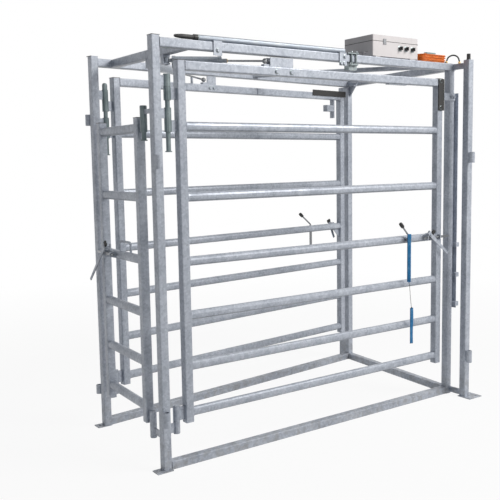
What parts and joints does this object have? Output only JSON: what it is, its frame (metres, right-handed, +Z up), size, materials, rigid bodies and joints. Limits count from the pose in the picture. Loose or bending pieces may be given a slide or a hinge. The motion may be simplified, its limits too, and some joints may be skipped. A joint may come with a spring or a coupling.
{
  "type": "cattle drafting gate",
  "caption": "Race module of galvanised square tube with two long gates swung by air cylinders, a short end gate, slam latches and a valve box",
  "frame": {"origin": "underside of the front left foot plate, at the post's outer front corner", "axes": "+X along the front from the hinge end to the latch end, +Y across to the back gate, +Z up"},
  "size_m": [2.6023, 1.4971, 2.478],
  "materials": {
    "galvanised": "hot-dip galvanised, dull",
    "zinc": "zinc plated, slightly green",
    "steel": "bare turned steel",
    "alloy": "drawn, satin",
    "grey_paint": "satin paint",
    "rubber": "matt",
    "black_plastic": "matt",
    "orange": "satin sheath",
    "teal": "matt",
    "blue_webbing": "woven webbing"
  },
  "bodies": {
    "frame": {"post_front_left": "galvanised", "post_back_left": "galvanised", "post_front_right": "galvanised", "post_corner_right": "galvanised", "post_back_right": "galvanised", "foot_plate_front_left": "galvanised", "foot_plate_back_left": "galvanised", "foot_plate_corner_right": "galvanised", "foot_plate_back_right": "galvanised", "top_rail_front": "galvanised", "top_rail_back": "galvanised", "top_rail_left": "galvanised", "top_rail_right": "galvanised", "top_brace": "galvanised", "floor_rail_front": "galvanised", "floor_rail_back": "galvanised", "floor_rail_right": "galvanised", "clamp_left": "galvanised", "clamp_right": "galvanised", "clamp_block": "zinc", "conduit_tube": "alloy", "conduit_fitting": "black_plastic", "post_plug": "black_plastic", "box_base": "grey_paint", "valve_block": "black_plastic", "orange_lead": "orange", "lead_buckle": "teal", "corner_hose": "rubber"},
    "front_gate": {"front_gate_hinge_stile": "galvanised", "front_gate_rails": "galvanised", "front_gate_top_rail": "galvanised", "front_gate_rubber": "rubber"},
    "back_gate": {"back_gate_hinge_stile": "galvanised", "back_gate_rails": "galvanised", "back_gate_top_rail": "galvanised", "back_gate_rubber": "rubber"},
    "end_gate": {"end_gate_hinge_stile": "galvanised", "end_gate_rails": "galvanised"},
    "front_latch_bolt": {"front_gate_latch_bolt": "steel"},
    "front_latch_lever": {"front_gate_latch_lever": "galvanised"},
    "back_latch_bolt": {"back_gate_latch_bolt": "steel"},
    "back_latch_lever": {"back_gate_latch_lever": "galvanised"},
    "end_latch_bolt": {"end_gate_latch_bolt": "steel"},
    "end_latch_lever": {"end_gate_latch_lever": "galvanised"},
    "front_lift_pin": {"front_gate_lift_pin": "steel", "pull_strap": "blue_webbing", "pull_cord": "black_plastic", "pull_tail": "blue_webbing"},
    "back_lift_pin": {"back_gate_lift_pin": "steel"},
    "front_barrel": {"front_cylinder_barrel": "alloy"},
    "front_rod": {"front_cylinder_rod": "steel"},
    "back_barrel": {"back_cylinder_barrel": "alloy"},
    "back_rod": {"back_cylinder_rod": "steel"},
    "box_lid": {"box_lid": "grey_paint"},
    "box_latch": {"box_latch": "steel"},
    "knob_1": {"valve_knob_1": "black_plastic"},
    "knob_2": {"valve_knob_2": "black_plastic"},
    "knob_3": {"valve_knob_3": "black_plastic"}
  },
  "joints": [
    {"name": "front_gate_swing", "type": "hinge", "parent": "frame", "child": "front_gate", "pos_m": [0.098, 0.025, 1.2], "axis": [0, 0, 1], "range_deg": [0, 27]},
    {"name": "back_gate_swing", "type": "hinge", "parent": "frame", "child": "back_gate", "pos_m": [0.16032, 0.9249, 1.2], "axis": [0, 0, 1], "range_deg": [-26, 0]},
    {"name": "end_gate_swing", "type": "hinge", "parent": "frame", "child": "end_gate", "pos_m": [0.03681, 0.18302, 1.1], "axis": [0, 0, 1], "range_deg": [0, 110]},
    {"name": "front_latch_turn", "type": "hinge", "parent": "front_gate", "child": "front_latch_lever", "pos_m": [2.1, -0.03, 1.16908], "axis": [0, -1, 0], "range_deg": [0, 35]},
    {"name": "front_latch_slide", "type": "slide", "parent": "front_gate", "child": "front_latch_bolt", "axis": [1, 0, 0], "range_m": [0, 0.04]},
    {"name": "back_latch_turn", "type": "hinge", "parent": "back_gate", "child": "back_latch_lever", "pos_m": [2.29789, 1.23328, 1.16908], "axis": [0.1175, -0.9931, 0], "range_deg": [0, 35]},
    {"name": "back_latch_slide", "type": "slide", "parent": "back_gate", "child": "back_latch_bolt", "axis": [0.9931, 0.1175, 0], "range_m": [0, 0.02]},
    {"name": "end_latch_turn", "type": "hinge", "parent": "end_gate", "child": "end_latch_lever", "pos_m": [0.01418, 0.68884, 1.19608], "axis": [0.9979, -0.0641, 0], "range_deg": [0, 35]},
    {"name": "end_latch_slide", "type": "slide", "parent": "end_gate", "child": "end_latch_bolt", "axis": [0.0641, 0.9979, 0], "range_m": [0, 0.04]},
    {"name": "front_pin_lift", "type": "slide", "parent": "front_gate", "child": "front_lift_pin", "axis": [0, 0, 1], "range_m": [0, 0.06]},
    {"name": "back_pin_lift", "type": "slide", "parent": "back_gate", "child": "back_lift_pin", "axis": [0, 0, 1], "range_m": [0, 0.06]},
    {"name": "front_cylinder_swing", "type": "hinge", "parent": "frame", "child": "front_barrel", "pos_m": [0.235, 0.265, 2.261], "axis": [0, 0, 1], "range_deg": [0, 33]},
    {"name": "front_rod_slide", "type": "slide", "parent": "front_barrel", "child": "front_rod", "axis": [0.9051, -0.4251, 0], "range_m": [-0.125, 0]},
    {"name": "back_cylinder_swing", "type": "hinge", "parent": "frame", "child": "back_barrel", "pos_m": [0.245, 0.46, 2.261], "axis": [0, 0, 1], "range_deg": [-22, 0]},
    {"name": "back_rod_slide", "type": "slide", "parent": "back_barrel", "child": "back_rod", "axis": [0.7861, 0.6181, 0], "range_m": [-0.207, 0]},
    {"name": "box_lid_open", "type": "hinge", "parent": "frame", "child": "box_lid", "pos_m": [1.79, 0.2755, 2.4395], "axis": [-1, 0, 0], "range_deg": [0, 100]},
    {"name": "box_latch_turn", "type": "hinge", "parent": "box_lid", "child": "box_latch", "pos_m": [1.69, 0.0015, 2.456], "axis": [-1, 0, 0], "range_deg": [0, 80]},
    {"name": "valve_knob_1_turn", "type": "hinge", "parent": "frame", "child": "knob_1", "pos_m": [1.83, 0.0017, 2.404], "axis": [0, -1, 0], "range_deg": [-45, 45]},
    {"name": "valve_knob_2_turn", "type": "hinge", "parent": "frame", "child": "knob_2", "pos_m": [1.886, 0.0017, 2.404], "axis": [0, -1, 0], "range_deg": [-45, 45]},
    {"name": "valve_knob_3_turn", "type": "hinge", "parent": "frame", "child": "knob_3", "pos_m": [1.946, 0.0017, 2.404], "axis": [0, -1, 0], "range_deg": [-45, 45]}
  ],
  "couplings": [
    {"joint": "front_cylinder_swing", "follows": "front_gate_swing", "ratio": 1.1916},
    {"joint": "front_rod_slide", "follows": "front_gate_swing", "m_per_rad": -0.25647},
    {"joint": "back_cylinder_swing", "follows": "back_gate_swing", "ratio": 0.82609},
    {"joint": "back_rod_slide", "follows": "back_gate_swing", "m_per_rad": 0.4481},
    {"joint": "front_latch_slide", "follows": "front_latch_turn", "m_per_rad": 0.065474},
    {"joint": "back_latch_slide", "follows": "back_latch_turn", "m_per_rad": 0.032737},
    {"joint": "end_latch_slide", "follows": "end_latch_turn", "m_per_rad": 0.065474}
  ]
}
